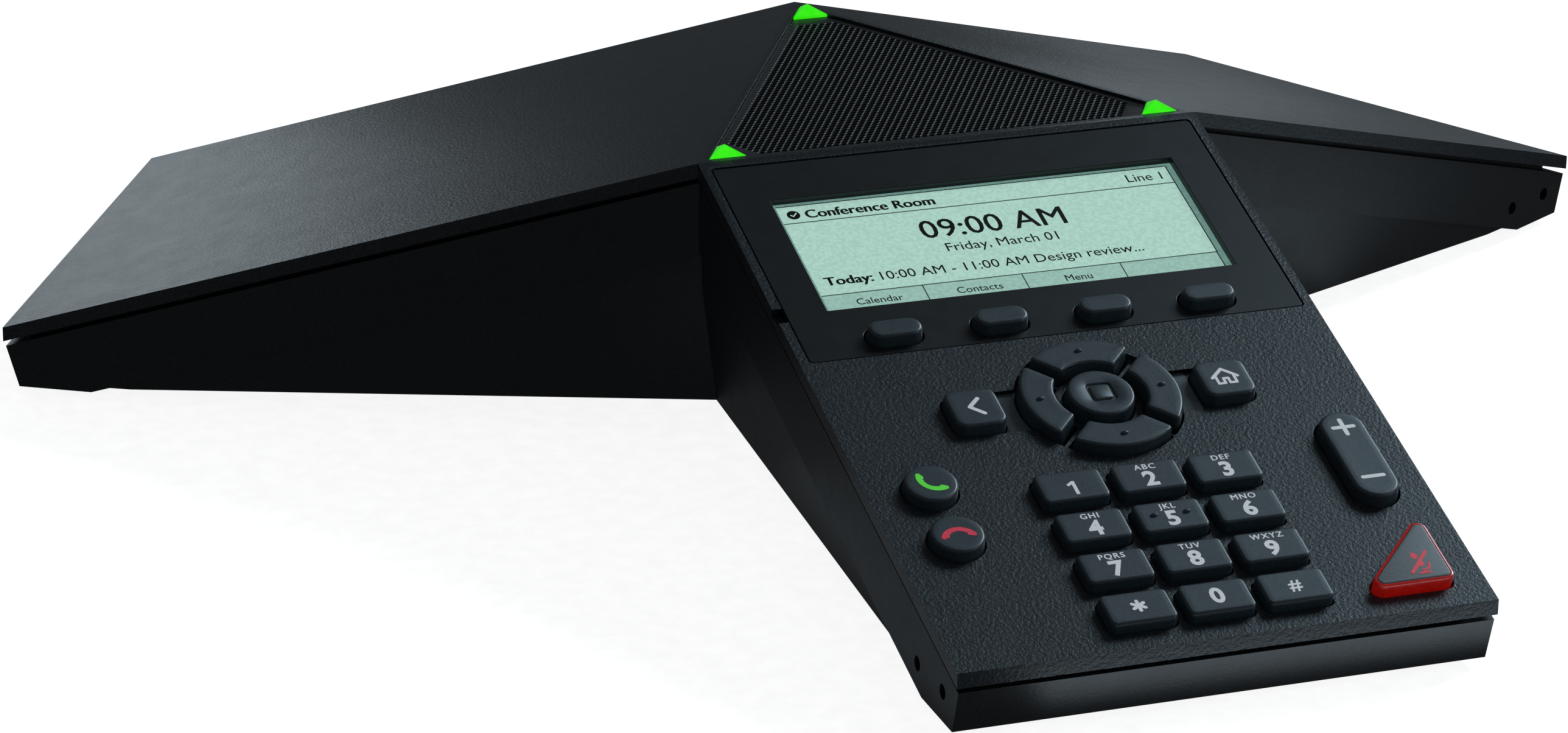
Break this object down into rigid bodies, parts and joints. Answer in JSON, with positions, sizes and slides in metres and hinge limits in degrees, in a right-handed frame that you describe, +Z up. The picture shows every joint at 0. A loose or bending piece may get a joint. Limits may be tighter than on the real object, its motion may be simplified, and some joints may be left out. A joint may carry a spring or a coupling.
{
  "type": "desk ip phone",
  "caption": "Three-armed tabletop conference phone with a central speaker grille, a tilted display, dial and navigation keys, mute key and cable well.",
  "frame": {"origin": "bottom centre of the overall box, on the table under the rubber feet", "axes": "+X to the right as the user faces the display, -Y along the front arm towards the user, +Z up"},
  "size_m": [0.318, 0.2754, 0.0568],
  "materials": {
    "body_plastic": "coarse spark-eroded grain",
    "key_plastic": "fine satin",
    "panel_plastic": "smooth satin",
    "rubber": "matte",
    "lcd": "smooth, lit from behind",
    "light_guide": "clear moulded",
    "grille": "satin powder coat",
    "cloth": "fine weave",
    "status_green": "translucent, lit",
    "circuit_board": "solder mask",
    "speaker_steel": "satin",
    "cone_paper": "pressed paper",
    "screw_steel": "zinc plated",
    "tin_plate": "tin plated",
    "connector_plastic": "moulded nylon",
    "capacitor_sleeve": "shrink sleeve",
    "flex_cable": "polyimide film",
    "gold_contact": "gold plated",
    "silicone": "soft matte",
    "mute_cap_plastic": "fine satin",
    "mute_red": "translucent, lit"
  },
  "bodies": {
    "root": {"top_cover": "body_plastic", "bottom_housing": "body_plastic", "rubber_feet": "rubber", "speaker_gasket": "rubber", "mic_boots": "rubber", "display_panel": "panel_plastic", "lcd_glass": "lcd", "lcd_backlight": "light_guide", "speaker_grille": "grille", "grille_cloth": "cloth", "status_lights": "status_green", "light_boards": "circuit_board", "main_board": "circuit_board", "keypad_board": "circuit_board", "speaker_frame": "speaker_steel", "speaker_magnet": "speaker_steel", "speaker_cone": "cone_paper", "speaker_screws": "screw_steel", "housing_screws": "screw_steel", "board_screws": "screw_steel", "processor_shield": "tin_plate", "lan_jack": "tin_plate", "usb_port": "tin_plate", "mic_capsules": "tin_plate", "board_connectors": "connector_plastic", "capacitors": "capacitor_sleeve", "keypad_cable": "flex_cable", "lan_contacts": "gold_contact", "key_contacts": "gold_contact", "keypad_mat": "silicone"},
    "back_key": {"back_key": "key_plastic"},
    "home_key": {"home_key": "key_plastic"},
    "select_key": {"select_key": "key_plastic"},
    "call_key": {"call_key": "key_plastic"},
    "end_key": {"end_key": "key_plastic"},
    "volume_rocker": {"volume_rocker": "key_plastic"},
    "soft_key_1": {"soft_key_1": "key_plastic"},
    "soft_key_2": {"soft_key_2": "key_plastic"},
    "soft_key_3": {"soft_key_3": "key_plastic"},
    "soft_key_4": {"soft_key_4": "key_plastic"},
    "nav_up": {"nav_up": "key_plastic"},
    "nav_down": {"nav_down": "key_plastic"},
    "nav_left": {"nav_left": "key_plastic"},
    "nav_right": {"nav_right": "key_plastic"},
    "dial_1": {"dial_1": "key_plastic"},
    "dial_2": {"dial_2": "key_plastic"},
    "dial_3": {"dial_3": "key_plastic"},
    "dial_4": {"dial_4": "key_plastic"},
    "dial_5": {"dial_5": "key_plastic"},
    "dial_6": {"dial_6": "key_plastic"},
    "dial_7": {"dial_7": "key_plastic"},
    "dial_8": {"dial_8": "key_plastic"},
    "dial_9": {"dial_9": "key_plastic"},
    "dial_star": {"dial_star": "key_plastic"},
    "dial_0": {"dial_0": "key_plastic"},
    "dial_hash": {"dial_hash": "key_plastic"},
    "mute_key": {"mute_cap": "mute_cap_plastic", "mute_lens": "mute_red"}
  },
  "joints": [
    {"name": "back_key_press", "type": "slide", "parent": "root", "child": "back_key", "axis": [0, 0.309, -0.9511], "range_m": [0, 0.001], "stiffness_N_per_m": 500},
    {"name": "home_key_press", "type": "slide", "parent": "root", "child": "home_key", "axis": [0, 0.309, -0.9511], "range_m": [0, 0.001], "stiffness_N_per_m": 500},
    {"name": "select_key_press", "type": "slide", "parent": "root", "child": "select_key", "axis": [0, 0.309, -0.9511], "range_m": [0, 0.001], "stiffness_N_per_m": 500},
    {"name": "call_key_press", "type": "slide", "parent": "root", "child": "call_key", "axis": [0, 0.309, -0.9511], "range_m": [0, 0.001], "stiffness_N_per_m": 500},
    {"name": "end_key_press", "type": "slide", "parent": "root", "child": "end_key", "axis": [0, 0.309, -0.9511], "range_m": [0, 0.001], "stiffness_N_per_m": 500},
    {"name": "volume_rocker_tilt", "type": "hinge", "parent": "root", "child": "volume_rocker", "pos_m": [0.0377, -0.10155, 0.02096], "axis": [1, 0, 0], "range_deg": [-3, 3], "stiffness_Nm_per_rad": 0.1},
    {"name": "soft_key_1_press", "type": "slide", "parent": "root", "child": "soft_key_1", "axis": [0, 0.309, -0.9511], "range_m": [0, 0.001], "stiffness_N_per_m": 500},
    {"name": "soft_key_2_press", "type": "slide", "parent": "root", "child": "soft_key_2", "axis": [0, 0.309, -0.9511], "range_m": [0, 0.001], "stiffness_N_per_m": 500},
    {"name": "soft_key_3_press", "type": "slide", "parent": "root", "child": "soft_key_3", "axis": [0, 0.309, -0.9511], "range_m": [0, 0.001], "stiffness_N_per_m": 500},
    {"name": "soft_key_4_press", "type": "slide", "parent": "root", "child": "soft_key_4", "axis": [0, 0.309, -0.9511], "range_m": [0, 0.001], "stiffness_N_per_m": 500},
    {"name": "nav_up_press", "type": "slide", "parent": "root", "child": "nav_up", "axis": [0, 0.309, -0.9511], "range_m": [0, 0.001], "stiffness_N_per_m": 500},
    {"name": "nav_down_press", "type": "slide", "parent": "root", "child": "nav_down", "axis": [0, 0.309, -0.9511], "range_m": [0, 0.001], "stiffness_N_per_m": 500},
    {"name": "nav_left_press", "type": "slide", "parent": "root", "child": "nav_left", "axis": [0, 0.309, -0.9511], "range_m": [0, 0.001], "stiffness_N_per_m": 500},
    {"name": "nav_right_press", "type": "slide", "parent": "root", "child": "nav_right", "axis": [0, 0.309, -0.9511], "range_m": [0, 0.001], "stiffness_N_per_m": 500},
    {"name": "dial_1_press", "type": "slide", "parent": "root", "child": "dial_1", "axis": [0, 0.309, -0.9511], "range_m": [0, 0.001], "stiffness_N_per_m": 500},
    {"name": "dial_2_press", "type": "slide", "parent": "root", "child": "dial_2", "axis": [0, 0.309, -0.9511], "range_m": [0, 0.001], "stiffness_N_per_m": 500},
    {"name": "dial_3_press", "type": "slide", "parent": "root", "child": "dial_3", "axis": [0, 0.309, -0.9511], "range_m": [0, 0.001], "stiffness_N_per_m": 500},
    {"name": "dial_4_press", "type": "slide", "parent": "root", "child": "dial_4", "axis": [0, 0.309, -0.9511], "range_m": [0, 0.001], "stiffness_N_per_m": 500},
    {"name": "dial_5_press", "type": "slide", "parent": "root", "child": "dial_5", "axis": [0, 0.309, -0.9511], "range_m": [0, 0.001], "stiffness_N_per_m": 500},
    {"name": "dial_6_press", "type": "slide", "parent": "root", "child": "dial_6", "axis": [0, 0.309, -0.9511], "range_m": [0, 0.001], "stiffness_N_per_m": 500},
    {"name": "dial_7_press", "type": "slide", "parent": "root", "child": "dial_7", "axis": [0, 0.309, -0.9511], "range_m": [0, 0.001], "stiffness_N_per_m": 500},
    {"name": "dial_8_press", "type": "slide", "parent": "root", "child": "dial_8", "axis": [0, 0.309, -0.9511], "range_m": [0, 0.001], "stiffness_N_per_m": 500},
    {"name": "dial_9_press", "type": "slide", "parent": "root", "child": "dial_9", "axis": [0, 0.309, -0.9511], "range_m": [0, 0.001], "stiffness_N_per_m": 500},
    {"name": "dial_star_press", "type": "slide", "parent": "root", "child": "dial_star", "axis": [0, 0.309, -0.9511], "range_m": [0, 0.001], "stiffness_N_per_m": 500},
    {"name": "dial_0_press", "type": "slide", "parent": "root", "child": "dial_0", "axis": [0, 0.309, -0.9511], "range_m": [0, 0.001], "stiffness_N_per_m": 500},
    {"name": "dial_hash_press", "type": "slide", "parent": "root", "child": "dial_hash", "axis": [0, 0.309, -0.9511], "range_m": [0, 0.001], "stiffness_N_per_m": 500},
    {"name": "mute_key_press", "type": "slide", "parent": "root", "child": "mute_key", "axis": [0, 0.309, -0.9511], "range_m": [0, 0.001], "stiffness_N_per_m": 500}
  ]
}
